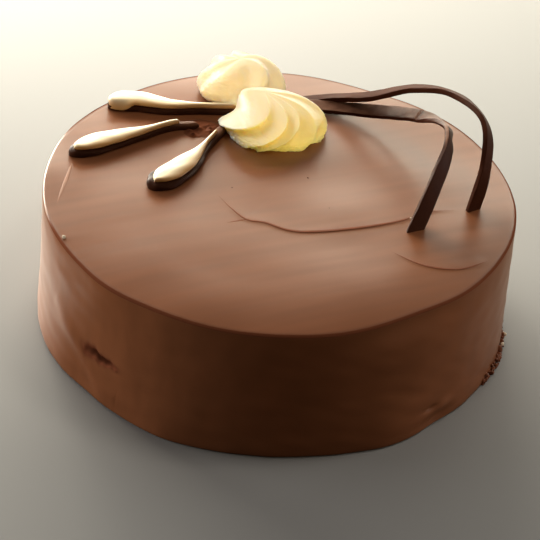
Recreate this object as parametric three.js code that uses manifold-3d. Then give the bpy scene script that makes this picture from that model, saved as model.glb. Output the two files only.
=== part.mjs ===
// A round chocolate cake, iced all over by hand, with two piped cream swirls, two bent
// chocolate strips and three drop-shaped petals of dark chocolate with ivory faces.
// Millimetres, Z up, centre of the cake's underside at the origin, front towards -Y.
import * as THREE from "three";
import { mergeVertices } from "three/addons/utils/BufferGeometryUtils.js";
import Module from "manifold-3d";

const wasm = await Module();
wasm.setup();

// Cake
const CAKE_RADIUS = 100;
const CAKE_HEIGHT = 62;
const CAKE_COLUMNS = 112;
const FOOT_ROUND = 1.4;
const RIM_ROUND = 2.2;
const RIM_STEPS = 4;
const SIDE_ROWS = 9;
const TOP_RINGS = [0.86, 0.45];
// Slow waves round the side: how many, how deep and where they start
const SIDE_WAVES = [
  { count: 3, depth: 0.35, start: 0.6 },
  { count: 7, depth: 0.25, start: 2 },
];
// Unevenness left by hand: where it sits on the side, how far it spreads and how deep it is
const HAND_MARKS = [
  { deg: -133, z: 23, spreadDeg: 4.2, spreadZ: 2.6, depth: -2.4 },
  { deg: -139, z: 6, spreadDeg: 7, spreadZ: 16, depth: -1.8 },
  { deg: -113, z: 4, spreadDeg: 9, spreadZ: 14, depth: 1.4 },
  { deg: -58, z: 5, spreadDeg: 9, spreadZ: 15, depth: 1.6 },
  { deg: -53, z: 60, spreadDeg: 14, spreadZ: 8, depth: -2.8 },
  { deg: -132, z: 58, spreadDeg: 8, spreadZ: 12, depth: 1.2 },
  { deg: 66, z: 56, spreadDeg: 16, spreadZ: 14, depth: -2.0 },
  { deg: 176, z: 6, spreadDeg: 20, spreadZ: 12, depth: 0.9 },
];

// Cream swirls: a dome with sharp crests and hollow channels that turn as they climb
const FRONT_SWIRL = {
  centre: [-5.5, 53.6],
  radius: 24.5,
  height: 17,
  channels: 7,
  phaseDeg: 199,
  turnDeg: 134,
  turnPower: 2.3,
  doming: 1.2,
  tuck: 0.12,
  depth: 0.22,
  footDepth: 0.4,
  fade: 0.35,
  hollow: 1.15,
  lean: [-3.5, 6],
  squash: 0.98,
};
const BACK_SWIRL = {
  centre: [-20.7, 79],
  radius: 20.5,
  height: 17.5,
  channels: 5,
  phaseDeg: -90,
  turnDeg: 150,
  turnPower: 2.2,
  doming: 0.75,
  tuck: 0.15,
  depth: 0.24,
  footDepth: 0.3,
  fade: 0.3,
  hollow: 2,
  lean: [-1, 1],
  squash: 0.86,
};
const SWIRL_LIFT = 0.8;
const SWIRL_SKEW = 0.85;
const FOOT_SHARE = 0.2;
const CHANNEL_GROWTH = 0.35;
const SWIRL_ROWS = 16;
const COLUMNS_PER_CHANNEL = 9;

// Bent strips: flat ribbons that leave the cream low down, rise and come down in front.
// Each point is its place, its height above the cake's top and the ribbon's tilt in degrees.
const STRIP_WIDTH = 6.8;
const STRIP_THICKNESS = 1.9;
const STRIP_CHAMFER = 0.35;
const STRIP_STATIONS = 36;
const STRIP_PATHS = {
  strip_front: [
    [4, 70.4, 1.9, 12],
    [23.5, 68.8, 2.8, 16],
    [41, 63.6, 6, 16],
    [57.8, 48.7, 14.5, 4],
    [67.6, 28.5, 23, -34],
    [69, 9.1, 24, -34],
    [64.8, -4.1, 15.5, 0],
    [56, -23, -2.4, 0],
  ],
  strip_back: [
    [2, 80.6, 2.5, -16],
    [18.7, 75.6, 4.8, -16],
    [35.8, 67.4, 12, -12],
    [54.8, 59.6, 22, -12],
    [71.6, 47.1, 27.5, -22],
    [84.7, 24, 27.5, -34],
    [85.4, 8.5, 15.5, -10],
    [81, -1.7, -2.4, 0],
  ],
};

// Petals: a rounded head that narrows to a tail, dark base below and ivory face on top
const PETAL_THICKNESS = 3.4;
const FACE_THICKNESS = 1.3;
const FACE_INSET = 0.9;
const FACE_SHARE = 0.86;
const HEAD_SHARE = 0.26;
const BLUNT_SHARE = 0.1;
const EDGE_SQUARENESS = 0.6;
const PETAL_STATIONS = 18;
const PETAL_SIDES = 10;
// The left petal's tail is soft and lumpy; the back petal's tail is pressed into the cream
const PETALS = {
  petal_back: {
    halfWidth: 6.2,
    tailHalfWidth: 2.2,
    path: [[-78, 57.6], [-66, 61.4], [-51, 59], [-36, 59.6], [-19.5, 60.2]],
    lumps: [],
    inCream: true,
  },
  petal_left: {
    halfWidth: 5.2,
    tailHalfWidth: 2.4,
    path: [[-90, 17.4], [-77, 26.6], [-61, 35], [-47, 42.6], [-31, 47.6]],
    lumps: [
      { at: [-42.6, 40.6], radius: 2.7 },
      { at: [-39.2, 42.2], radius: 3.1 },
      { at: [-35.6, 43.6], radius: 2.4 },
    ],
    inCream: false,
  },
  petal_front: {
    halfWidth: 5.8,
    tailHalfWidth: 2.2,
    path: [[-54, -3.4], [-47, 6.4], [-38.6, 19.4], [-31.6, 35], [-25.6, 48]],
    lumps: [],
    inCream: false,
  },
};
const LUMP_RISE = 0.45;
const GAP = 0.3;

const COLOURS = {
  icing: { color: "#7b4a33", roughness: 0.42 },
  cream: { color: "#f6e3b0", roughness: 0.55 },
  darkChocolate: { color: "#2a130b", roughness: 0.3 },
  stripChocolate: { color: "#3a1d12", roughness: 0.34 },
  ivory: { color: "#f3e6c4", roughness: 0.4 },
};

const radians = THREE.MathUtils.degToRad;

// A closed surface through rings of points, with a point at each end.
function skin(rings, first, last) {
  const count = rings[0].length;
  const points = [first, ...rings.flat(), last];
  const at = (ring, i) => 1 + ring * count + (i % count);
  const end = points.length - 1;
  const faces = [];
  for (let i = 0; i < count; i++) {
    faces.push(0, at(0, i + 1), at(0, i));
    faces.push(end, at(rings.length - 1, i), at(rings.length - 1, i + 1));
    for (let ring = 0; ring + 1 < rings.length; ring++) {
      faces.push(at(ring, i), at(ring, i + 1), at(ring + 1, i + 1));
      faces.push(at(ring, i), at(ring + 1, i + 1), at(ring + 1, i));
    }
  }
  const geometry = new THREE.BufferGeometry().setFromPoints(points);
  geometry.setIndex(faces);
  return geometry;
}

function solidOf(geometry) {
  const clean = geometry.clone();
  clean.deleteAttribute("normal");
  clean.deleteAttribute("uv");
  const merged = mergeVertices(clean, 1e-4);
  return new wasm.Manifold(
    new wasm.Mesh({
      numProp: 3,
      vertProperties: new Float32Array(merged.attributes.position.array),
      triVerts: new Uint32Array(merged.index.array),
    }),
  );
}

function geometryOf(solid) {
  const mesh = solid.getMesh();
  const geometry = new THREE.BufferGeometry();
  geometry.setAttribute("position", new THREE.BufferAttribute(mesh.vertProperties, 3));
  geometry.setIndex(new THREE.BufferAttribute(mesh.triVerts, 1));
  return geometry;
}

// A solid with the clearance that its neighbours keep from it.
function withClearance(solid) {
  const shifts = [[GAP, 0, 0], [-GAP, 0, 0], [0, GAP, 0], [0, -GAP, 0], [0, 0, GAP], [0, 0, -GAP]];
  return shifts.reduce((sum, shift) => sum.add(solid.translate(shift)), solid);
}

// Height of the side's hand-made unevenness at an angle and a height.
function handRelief(angle, z) {
  let relief = 0;
  for (const wave of SIDE_WAVES) {
    relief += wave.depth * Math.sin(wave.count * angle + wave.start);
  }
  for (const mark of HAND_MARKS) {
    const turn = angle - radians(mark.deg);
    const away = Math.atan2(Math.sin(turn), Math.cos(turn)) / radians(mark.spreadDeg);
    const up = (z - mark.z) / mark.spreadZ;
    relief += mark.depth * Math.exp(-away * away - up * up);
  }
  return relief;
}

function cakeGeometry() {
  const profile = [
    [CAKE_RADIUS - FOOT_ROUND, 0],
    [CAKE_RADIUS - 0.3 * FOOT_ROUND, 0.4 * FOOT_ROUND],
  ];
  const shoulder = CAKE_HEIGHT - RIM_ROUND;
  for (let row = 0; row <= SIDE_ROWS; row++) {
    profile.push([CAKE_RADIUS, FOOT_ROUND + ((shoulder - FOOT_ROUND) * row) / SIDE_ROWS]);
  }
  for (let step = 1; step <= RIM_STEPS; step++) {
    const turn = (Math.PI / 2) * (step / RIM_STEPS);
    const inward = RIM_ROUND * (1 - Math.cos(turn));
    profile.push([CAKE_RADIUS - inward, shoulder + RIM_ROUND * Math.sin(turn)]);
  }
  TOP_RINGS.forEach((share) => profile.push([CAKE_RADIUS * share, CAKE_HEIGHT]));
  const rings = profile.map(([radius, z]) => {
    const edge = THREE.MathUtils.smoothstep(radius, 0.88 * CAKE_RADIUS, 0.96 * CAKE_RADIUS);
    return Array.from({ length: CAKE_COLUMNS }, (unused, i) => {
      const angle = (2 * Math.PI * i) / CAKE_COLUMNS;
      const r = radius + edge * handRelief(angle, z);
      return new THREE.Vector3(r * Math.cos(angle), r * Math.sin(angle), z);
    });
  });
  return skin(rings, new THREE.Vector3(0, 0, 0), new THREE.Vector3(0, 0, CAKE_HEIGHT));
}

function swirlGeometry(swirl) {
  const [cx, cy] = swirl.centre;
  const [leanX, leanY] = swirl.lean;
  const columns = swirl.channels * COLUMNS_PER_CHANNEL;
  const rings = [];
  for (let row = 0; row < SWIRL_ROWS; row++) {
    const t = row / SWIRL_ROWS;
    const climb = (t * Math.PI) / 2;
    const foot = 1 - swirl.tuck * Math.max(0, 1 - t / FOOT_SHARE) ** 2;
    const dome = swirl.radius * Math.cos(climb) ** swirl.doming * foot;
    const turn = radians(swirl.phaseDeg + swirl.turnDeg * (1 - (1 - t) ** swirl.turnPower));
    const grown = THREE.MathUtils.lerp(swirl.footDepth, 1, Math.min(1, t / CHANNEL_GROWTH));
    const depth = swirl.depth * grown * (1 - swirl.fade * t);
    const ring = [];
    for (let i = 0; i < columns; i++) {
      const across = ((i % COLUMNS_PER_CHANNEL) / COLUMNS_PER_CHANNEL) ** SWIRL_SKEW;
      const crest = 1 - Math.sin(Math.PI * across) ** swirl.hollow;
      const r = dome * (1 - depth * (1 - crest));
      const lift = SWIRL_LIFT * (crest - 0.5) * Math.sin(Math.PI * t);
      const angle = turn + (2 * Math.PI * i) / columns;
      ring.push(
        new THREE.Vector3(
          cx + leanX * t * t + r * Math.cos(angle),
          cy + leanY * t * t + swirl.squash * r * Math.sin(angle),
          CAKE_HEIGHT + swirl.height * Math.sin(climb) + lift,
        ),
      );
    }
    rings.push(ring);
  }
  const foot = new THREE.Vector3(cx, cy, CAKE_HEIGHT);
  const peak = new THREE.Vector3(cx + leanX, cy + leanY, CAKE_HEIGHT + swirl.height);
  return skin(rings, foot, peak);
}

// Tilt of a ribbon between the points of its path.
function tiltAt(path, share) {
  const place = share * (path.length - 1);
  const before = Math.min(Math.floor(place), path.length - 2);
  const blend = THREE.MathUtils.smoothstep(place - before, 0, 1);
  return THREE.MathUtils.lerp(path[before][3], path[before + 1][3], blend);
}

// A flat ribbon along a path.
function stripGeometry(path) {
  const curve = new THREE.CatmullRomCurve3(
    path.map(([x, y, z]) => new THREE.Vector3(x, y, CAKE_HEIGHT + z)),
    false,
    "centripetal",
  );
  const a = STRIP_WIDTH / 2;
  const b = STRIP_THICKNESS / 2;
  const c = STRIP_CHAMFER;
  const quarter = [[a, b - c], [a - c, b]];
  const section = [
    ...quarter,
    ...quarter.map(([w, n]) => [-w, n]).reverse(),
    ...quarter.map(([w, n]) => [-w, -n]),
    ...quarter.map(([w, n]) => [w, -n]).reverse(),
  ];
  const rings = [];
  for (let i = 0; i <= STRIP_STATIONS; i++) {
    const share = curve.getUtoTmapping(i / STRIP_STATIONS);
    const centre = curve.getPoint(share);
    const along = curve.getTangent(share);
    const across = new THREE.Vector3(-along.y, along.x, 0).normalize();
    across.applyAxisAngle(along, radians(tiltAt(path, share)));
    const out = along.clone().cross(across);
    rings.push(
      section.map(([w, n]) => centre.clone().addScaledVector(across, w).addScaledVector(out, n)),
    );
  }
  return skin(rings, curve.getPointAt(0), curve.getPointAt(1));
}

// Half-width of a petal along its length: a round head, then a hollow taper to the tail.
function petalHalfWidth(petal, s) {
  const head = Math.sqrt(1 - Math.max(0, 1 - s / HEAD_SHARE) ** 2);
  const taper = THREE.MathUtils.smootherstep(s, HEAD_SHARE * 0.8, 0.8);
  return head * THREE.MathUtils.lerp(petal.halfWidth, petal.tailHalfWidth, taper);
}

// A slab along a petal's path between two heights, with rounded upper edges.
function slabGeometry(petal, inset, share, low, high) {
  const curve = new THREE.CatmullRomCurve3(
    petal.path.map(([x, y]) => new THREE.Vector3(x, y, CAKE_HEIGHT)),
  );
  const length = curve.getLength();
  const from = (0.5 * inset) / length;
  const rings = [];
  for (let i = 1; i < PETAL_STATIONS; i++) {
    const s = from + ((share - from) * (1 - Math.cos((Math.PI * i) / PETAL_STATIONS))) / 2;
    const centre = curve.getPointAt(s);
    const along = curve.getTangentAt(s);
    const across = new THREE.Vector3(-along.y, along.x, 0);
    const blunt = Math.sqrt(1 - Math.max(0, 1 - (share - s) / (BLUNT_SHARE * share)) ** 2);
    const half = Math.max(GAP, (petalHalfWidth(petal, s) - inset) * blunt);
    rings.push(
      Array.from({ length: PETAL_SIDES }, (unused, k) => {
        const turn = (Math.PI * k) / (PETAL_SIDES - 1);
        const w = half * Math.sign(Math.cos(turn)) * Math.abs(Math.cos(turn)) ** EDGE_SQUARENESS;
        const up = Math.sin(turn) ** EDGE_SQUARENESS;
        return centre.clone().addScaledVector(across, w).setZ(CAKE_HEIGHT + low + (high - low) * up);
      }),
    );
  }
  const head = curve.getPointAt(from).setZ(CAKE_HEIGHT + low);
  const tail = curve.getPointAt(share).setZ(CAKE_HEIGHT + low);
  return skin(rings, head, tail);
}

function lumpGeometry({ at, radius }) {
  const lump = new THREE.SphereGeometry(radius, 10, 7);
  return lump.translate(at[0], at[1], CAKE_HEIGHT + LUMP_RISE * radius);
}

const group = new THREE.Group();
group.name = "chocolate_cake";

function addMesh(name, geometry, colour) {
  const material = new THREE.MeshStandardMaterial({ ...colour, metalness: 0 });
  const mesh = new THREE.Mesh(geometry, material);
  mesh.name = name;
  group.add(mesh);
}

// Everything at or below the cake's top, for trimming what stands on it
const belowTop = solidOf(
  new THREE.BoxGeometry(3 * CAKE_RADIUS, 3 * CAKE_RADIUS, CAKE_HEIGHT).translate(0, 0, CAKE_HEIGHT / 2),
);

const petals = Object.entries(PETALS).map(([name, petal]) => {
  const top = PETAL_THICKNESS + FACE_THICKNESS;
  const base = solidOf(slabGeometry(petal, 0, 1, 0, PETAL_THICKNESS));
  const lumps = petal.lumps.map((lump) => solidOf(lumpGeometry(lump)));
  return {
    name,
    inCream: petal.inCream,
    base: lumps.reduce((sum, lump) => sum.add(lump), base).subtract(belowTop),
    face: solidOf(slabGeometry(petal, FACE_INSET, FACE_SHARE, PETAL_THICKNESS, top)),
  };
});

// A petal whose tail is pressed into the cream keeps its shape, and the cream closes round it
const pressedIn = petals
  .filter((petal) => petal.inCream)
  .flatMap(({ base, face }) => [withClearance(base), withClearance(face)]);
const creamSolid = (swirl) =>
  pressedIn.reduce((cream, tail) => cream.subtract(tail), solidOf(swirlGeometry(swirl)));
const frontCream = creamSolid(FRONT_SWIRL);
const aroundFrontCream = withClearance(frontCream);
const backCream = creamSolid(BACK_SWIRL).subtract(aroundFrontCream);
const aroundCream = withClearance(backCream).add(aroundFrontCream);

addMesh("cake", cakeGeometry(), COLOURS.icing);
addMesh("cream_swirl_front", geometryOf(frontCream), COLOURS.cream);
addMesh("cream_swirl_back", geometryOf(backCream), COLOURS.cream);

for (const [name, path] of Object.entries(STRIP_PATHS)) {
  const strip = solidOf(stripGeometry(path)).subtract(belowTop).subtract(aroundCream);
  addMesh(name, geometryOf(strip), COLOURS.stripChocolate);
}

for (const { name, inCream, base, face } of petals) {
  const trimmed = (solid) => (inCream ? solid : solid.subtract(aroundCream));
  addMesh(`${name}_base`, geometryOf(trimmed(base)), COLOURS.darkChocolate);
  addMesh(`${name}_face`, geometryOf(trimmed(face)), COLOURS.ivory);
}

export default group;
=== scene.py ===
"""Looks of a round chocolate cake: icing, piped cream, bent strips, petals and crumbs."""

import math

import bpy
import numpy as np
from bpy.props import FloatProperty, FloatVectorProperty, IntProperty, PointerProperty
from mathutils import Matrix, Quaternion, Vector


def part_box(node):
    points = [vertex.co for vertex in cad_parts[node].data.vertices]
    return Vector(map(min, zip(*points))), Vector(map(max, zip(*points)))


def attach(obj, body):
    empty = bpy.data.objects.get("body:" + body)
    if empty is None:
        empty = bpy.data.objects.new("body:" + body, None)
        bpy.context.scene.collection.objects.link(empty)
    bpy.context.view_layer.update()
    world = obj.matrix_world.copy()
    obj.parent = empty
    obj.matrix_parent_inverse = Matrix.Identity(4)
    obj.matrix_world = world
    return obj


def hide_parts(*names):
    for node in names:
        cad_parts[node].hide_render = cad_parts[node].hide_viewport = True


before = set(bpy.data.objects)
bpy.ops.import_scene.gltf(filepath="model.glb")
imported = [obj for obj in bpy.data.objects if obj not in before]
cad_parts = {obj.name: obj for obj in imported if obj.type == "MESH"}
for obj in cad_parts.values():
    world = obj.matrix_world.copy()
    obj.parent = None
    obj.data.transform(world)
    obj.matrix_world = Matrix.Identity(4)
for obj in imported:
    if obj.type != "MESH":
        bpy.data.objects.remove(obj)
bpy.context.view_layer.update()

bl_info = {
    "name": "Chocolate Cake",
    "version": (1, 0, 0),
    "blender": (4, 5, 0),
    "location": "3D View > Sidebar > Cake",
    "description": "Makes an iced chocolate cake with piped cream, bent strips and petals",
    "category": "Add Mesh",
}

BODY = "root"
CREAM_GROUP = "piped_cream"
NOT_CREAM = "all_but_cream"
BACK_CREAM = "back_cream"
FRONT_CREAM = "front_cream"
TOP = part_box("cake")[1].z
RADIUS = 0.100
# How far what stands on the top is sunk into the icing
SUNK = 0.0003

# Unevenness of the side: degrees round, height, spread in degrees, spread in height, depth
HAND_MARKS = (
    (-139, 0.006, 7, 0.016, -0.0012),
    (-113, 0.004, 9, 0.014, 0.0014),
    (-58, 0.005, 9, 0.015, 0.0016),
    (-53, 0.060, 14, 0.008, -0.0028),
    (-132, 0.058, 8, 0.012, 0.0012),
    (66, 0.056, 16, 0.014, -0.0020),
    (176, 0.006, 20, 0.012, 0.0009),
    (118, 0.030, 14, 0.010, -0.0008),
    (20, 0.020, 10, 0.018, 0.0007),
    (-45.8, 0.0104, 2.4, 0.0012, -0.0009),
    (-42.0, 0.0092, 2.6, 0.0024, 0.0006),
    (-43.0, 0.0030, 4.5, 0.0030, -0.0018),
)
# Slow waves of the side: depth, number round the cake and where they start
SIDE_WAVES = ((0.00035, 3, 0.6), (0.00025, 7, 2))
SIDE_GRAIN = 0.00010
# The gouge in the side: degrees round, height, half-length in degrees, half-height, depth
GOUGE = (-132.9, 0.0230, 4.8, 0.0017, -0.0015)
# Lips at the gouge's ends: place along it in half-lengths and above it in half-heights
GOUGE_LIPS = ((-1.15, 0.4), (1.15, -0.6))
LIP_HEIGHT = 0.0003
# A fold in the icing that runs down past the gouge, as degrees round and height
FOLD = (
    (-153, 0.0330),
    (-148, 0.0283),
    (-142, 0.0220),
    (-136, 0.0134),
    (-132, 0.0088),
    (-127, 0.0078),
)
FOLD_HEIGHT = 0.0010
FOLD_WIDTH = 0.0050
# Where the side has finer faces: degrees round or height, spread and how much finer
FINE_TURNS = ((GOUGE[0], 0.13, 5.0), (-44.5, 0.09, 2.5))
FINE_LEVELS = ((GOUGE[1], 0.0032, 7.0), (0.0095, 0.0035, 3.0))

# Places on the top where the palette knife lifted, as x and y
KNIFE_LINE = (
    (-0.0262, -0.0046),
    (-0.0191, -0.0152),
    (-0.0124, -0.0225),
    (-0.0049, -0.0236),
    (0.0036, -0.0275),
    (0.0099, -0.0281),
    (0.0264, -0.0241),
    (0.0492, -0.0148),
    (0.0638, -0.0047),
    (0.0744, -0.0019),
)
KNIFE_ARC = (
    (0.0480, -0.0372),
    (0.0578, -0.0438),
    (0.0640, -0.0457),
    (0.0763, -0.0447),
    (0.0887, -0.0364),
)
KNIFE_EDGE = ((-0.0885, 0.0120), (-0.0899, -0.0038), (-0.0918, -0.0216))
KNIFE_NICK = ((-0.0210, -0.0260), (-0.0161, -0.0237), (-0.0112, -0.0215))
# Colour of most of the lines along those places, a painted shade for the shaded side of each knife step,
# then each line's route, width and height
MARK_SHADE_COLOUR = (0.165, 0.052, 0.025, 1)
KNIFE_MARKS = {
    "knife_line": (KNIFE_LINE, 0.00170, 0.00008),
    "knife_arc": (KNIFE_ARC, 0.00120, 0.00005),
    "knife_nick": (KNIFE_NICK, 0.00090, 0.00003),
    "knife_edge": (KNIFE_EDGE, 0.00160, 0.00007),
}
# Ridges beside the longer lines: route, strength, width of the steep side and of the long side
KNIFE_RIDGES = ((KNIFE_LINE, 1.0, 0.0010, 0.0090), (KNIFE_ARC, 0.7, 0.0010, 0.0070))
# Direction of the knife's fine streaks and how far they are drawn out
STREAK_DEGREES = 25
STREAK_STRETCH = (9.0, 1.0, 3.0)
STREAK_HEIGHT = 0.000012
STREAK_WIDTH = 0.008
# Slow waves of the top
WAVE_HEIGHT = 0.00010
WAVE_LENGTH = 0.055
# How dark the rim's painted shade line is in front; it is darkest at the back and absent at the left, where
# light falls on the rim
RIM_SHADE = 0.50
# Where the top starts to fall towards its front edge
SWELL_REACH = 0.070

# Numbers that shape a whole swirl: how its turn eases, how full, tucked in, deep at the foot and flat it is
FORM_VALUES = ("turn_power", "doming", "tuck", "foot_depth", "squash", "back_squash", "rise", "seed")
# How far the crests stand up between the channels
CREST_LIFT = 0.0008
# Crests of each swirl, counter-clockwise: degrees at the foot and turn up to the peak, then the channel
# after the crest: depth, share of the climb where it starts to fade and ends, roundness and skew
CREST_VALUES = ("angle", "turn", "depth", "fade", "end", "hollow", "skew")
FRONT_SWIRL = {
    "centre": (-0.0055, 0.0536),
    "turn_power": 2.2,
    "doming": 0.76,
    "tuck": 0.07,
    "foot_depth": 0.85,
    "lean": (-0.0048, 0.0050),
    "squash": 0.98,
    "back_squash": 0.65,
    "rise": 0.9,
    "seed": 3.7,
    "crests": (
        (171, 109, 0.10, 0.50, 0.95, 0.90, 0.75),
        (239, 69, 0.09, 0.45, 0.78, 0.90, 0.60),
        (255, 74, 0.12, 0.35, 0.70, 0.90, 0.60),
        (306, 40, 0.13, 0.12, 0.34, 1.3, 0.90),
        (334, 50, 0.04, 0.20, 0.60, 1.3, 0.80),
        (410, 100, 0.28, 0.80, 1.00, 1.00, 1.10),
    ),
}
BACK_SWIRL = {
    "centre": (-0.0207, 0.0790),
    "turn_power": 1.1,
    "doming": 0.75,
    "tuck": 0.15,
    "foot_depth": 0.5,
    "lean": (-0.0010, 0.0010),
    "squash": 0.86,
    "back_squash": 0.86,
    "rise": 1.0,
    "seed": 9.2,
    "crests": (
        (178, 25, 0.05, 0.90, 1.00, 2.0, 1.00),
        (206, 45, 0.20, 0.80, 1.00, 1.8, 1.20),
        (262, 95, 0.16, 0.70, 1.00, 1.7, 0.90),
        (330, 95, 0.18, 0.70, 1.00, 1.7, 0.90),
        (405, 90, 0.18, 0.70, 1.00, 1.7, 0.90),
        (470, 60, 0.12, 0.70, 1.00, 1.9, 1.00),
    ),
}

# Each strip's route: x, y, height above the cake's top and tilt in degrees
STRIP_ROUTES = {
    "strip_front": (
        (0.0040, 0.0704, 0.0019, 10),
        (0.0235, 0.0688, 0.0028, 10),
        (0.0410, 0.0636, 0.0060, 24),
        (0.0578, 0.0487, 0.0145, 20),
        (0.0676, 0.0285, 0.0230, -42),
        (0.0690, 0.0190, 0.0249, -70),
        (0.0690, 0.0091, 0.0240, -66),
        (0.0648, -0.0041, 0.0155, -52),
        (0.0560, -0.0230, -0.0024, -40),
    ),
    "strip_back": (
        (0.0045, 0.0750, 0.0006, -10),
        (0.0187, 0.0756, 0.0033, -8),
        (0.0358, 0.0674, 0.0110, 3),
        (0.0548, 0.0596, 0.0216, -5),
        (0.0716, 0.0471, 0.0275, -24),
        (0.0847, 0.0240, 0.0275, -55),
        (0.0854, 0.0085, 0.0155, -58),
        (0.0810, -0.0017, -0.0024, -60),
    ),
}
# Where the front strip has cracked across, as a share of its length; the back one hasn't
CRACK_SHARE = {"strip_front": 0.415, "strip_back": -1.0}
CRACK_WIDTH = 0.00045
CRACK_SLANT = 0.35
STRIP_LENGTH = 0.125

# Each petal: half-widths of head and tail, the ivory face's gap to the head and the sides, how far it runs
# down in front, the share of the length that it covers, and the path of the middle as x and y
PETALS = {
    "petal_back": {
        "half_width": 0.0062,
        "tail_half_width": 0.0022,
        "head_inset": 0.0003,
        "drip": 0.0024,
        "seed": 11,
        "inset": 0.0007,
        "face_share": 0.995,
        "path": (
            (-0.078, 0.0576), (-0.066, 0.0614), (-0.051, 0.059), (-0.036, 0.0602), (-0.0218, 0.0618)
        ),
    },
    "petal_left": {
        "half_width": 0.0060,
        "tail_half_width": 0.0018,
        "head_inset": 0.0022,
        "drip": 0.0,
        "seed": 12,
        "inset": 0.0006,
        "face_share": 0.86,
        "path": (
            (-0.0904, 0.0155), (-0.0767, 0.0261), (-0.0608, 0.0356), (-0.0475, 0.0446), (-0.0372, 0.0470)
        ),
    },
    "petal_front": {
        "half_width": 0.0072,
        "tail_half_width": 0.0022,
        "head_inset": 0.0024,
        "drip": 0.0,
        "seed": 13,
        "inset": 0.0015,
        "face_share": 0.86,
        "path": (
            (-0.0542, -0.0060), (-0.0466, 0.0040), (-0.0382, 0.0177), (-0.0314, 0.0344), (-0.0256, 0.048)
        ),
    },
}
# Share of a petal's length that its round head takes and share where its taper ends
HEAD_SHARE = 0.20
TAPER_SHARE = 0.80
# How square the sections of base and face are, less is squarer, and how deep the face sits in the base
BASE_SQUARENESS = 0.62
FACE_SQUARENESS = 0.95
FACE_SEAT = 0.0006
# How much farther out a face lies at its head where it runs down
RUN_WIDTH = 0.0012
# Colour of the tails' upper faces where the ivory ends
TAIL_COLOUR = (0.130, 0.055, 0.030, 1)
# The soft smear between the petals' tails: centre, reach, and its bumps as x, y, spread, height, darkness;
# where a bump is a dent, its darkness is painted shade
SMEAR_CENTRE = (-0.0348, 0.0464)
SMEAR_REACH = (0.0122, 0.0080)
SMEAR_RISE = 0.0007
SMEAR_GRAIN = 0.00012
SMEAR_BUMPS = (
    (-0.0367, 0.0454, 0.0013, 0.0011, 0.0),
    (-0.0394, 0.0464, 0.0011, -0.0013, 1.0),
    (-0.0408, 0.0432, 0.0008, 0.0011, 0.0),
    (-0.0420, 0.0452, 0.0009, 0.0009, 0.2),
    (-0.0335, 0.0488, 0.0009, 0.0007, 0.0),
    (-0.0324, 0.0466, 0.0009, 0.0009, 0.0),
    (-0.0320, 0.0444, 0.0009, 0.0007, 0.0),
    (-0.0346, 0.0464, 0.0010, -0.0006, 0.4),
    (-0.0394, 0.0404, 0.0011, 0.0012, 1.0),
)

# Crumbs that lie alone: x, y, height and size, the pale ones at the foot and on the top, then brown specks;
# the pale lump on the top near the left rim is a painted highlight, pale for its glint
PALE_CRUMBS_AND_GLINT = (
    (0.1019, -0.0036, 0.0024, 0.0011),
    (0.1010, -0.0110, 0.0023, 0.0010),
    (-0.0864, -0.0450, TOP, 0.0010),
    (0.0558, -0.0112, TOP, 0.0006),
)
BROWN_SPECKS = (
    (0.0116, 0.0140, TOP - 0.0001, 0.00045),
    (-0.0201, 0.0014, TOP - 0.0001, 0.00040),
    (0.0213, -0.0084, TOP - 0.0001, 0.00028),
)
# How far the dark crumbs are tucked under the cake's edge, how far out they lie at the ends of their row and
# how much farther in its middle, and how far and how high they are piled
CRUMB_TUCK = 0.0004
CRUMB_REACH = (0.0004, 0.0020)
PILE_REACH = 0.0022
PILE_HEIGHT = 0.0042
# How rough each crumb is, and the seed of the crumbs' turns
CRUMB_ROUGHNESS = 0.9
TURN_SEED = 7

FLOOR_REACH = 4.0
FLOOR_LEVEL = -0.0001
CAMERA_PLACE = Vector((0.0, -1.0566, 0.7593))
CAMERA_AIM = Vector((-0.0013, 0.0, 0.0231))
CAMERA_ROLL = math.radians(4.76)
CAMERA_LENS = 200.05
CAMERA_SENSOR = 36.0
ROOM_COLOUR = (0.85, 0.88, 0.92, 1)
# Each light: place, aim, width, height, colour, the pieces that it lights, or none where it lights all, and
# what it gives them: soft light doesn't show in reflections, and gloss shows nowhere else
LIGHTS = {
    "window": ((-0.45, 0.55, 0.22), (0, 0.03, 0.06), 0.50, 0.22, (1.0, 0.95, 0.82), NOT_CREAM, "both"),
    "backdrop": ((-0.08, 0.55, 0.17), (-0.08, 0, 0.13), 1.3, 0.22, (1.0, 0.95, 0.78), CREAM_GROUP, "both"),
    "low_panel": ((-0.08, 0.56, 0.17), (-0.08, 0, 0.13), 1.3, 0.22, (1.0, 0.95, 0.78), NOT_CREAM, "gloss"),
    "high_window": ((-0.10, 0.48, 0.28), (0, 0.02, 0.06), 0.4, 0.14, (1.0, 0.95, 0.80), NOT_CREAM, "soft"),
    "side_window": ((0.75, 0.20, 0.16), (0, 0, 0.04), 0.4, 0.2, (1.0, 0.97, 0.92), NOT_CREAM, "both"),
    "left_window": ((-0.80, 0.02, 0.14), (0, 0, 0.03), 0.5, 0.2, (1.0, 0.97, 0.92), NOT_CREAM, "soft"),
    "ceiling": ((0.24, -0.04, 0.82), (0, 0, 0.06), 0.18, 0.18, (1.0, 0.92, 0.80), None, "soft"),
    "warm_fill": ((0.9, -0.7, 0.8), (0, 0, 0.05), 0.8, 0.8, (1.0, 0.78, 0.50), None, "both"),
    "cream_light": ((0.40, -0.60, 0.30), (0, 0.05, 0.07), 0.5, 0.4, (1.0, 0.82, 0.12), FRONT_CREAM, "soft"),
    "back_fill": ((-0.02, -0.62, 0.52), (-0.02, 0.08, 0.07), 0.3, 0.3, (1, 0.88, 0.56), BACK_CREAM, "soft"),
    "cream_window": ((-0.57, 0.32, 0.46), (0, 0.06, 0.07), 0.3, 0.3, (1.0, 0.98, 0.95), CREAM_GROUP, "both"),
}


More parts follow.
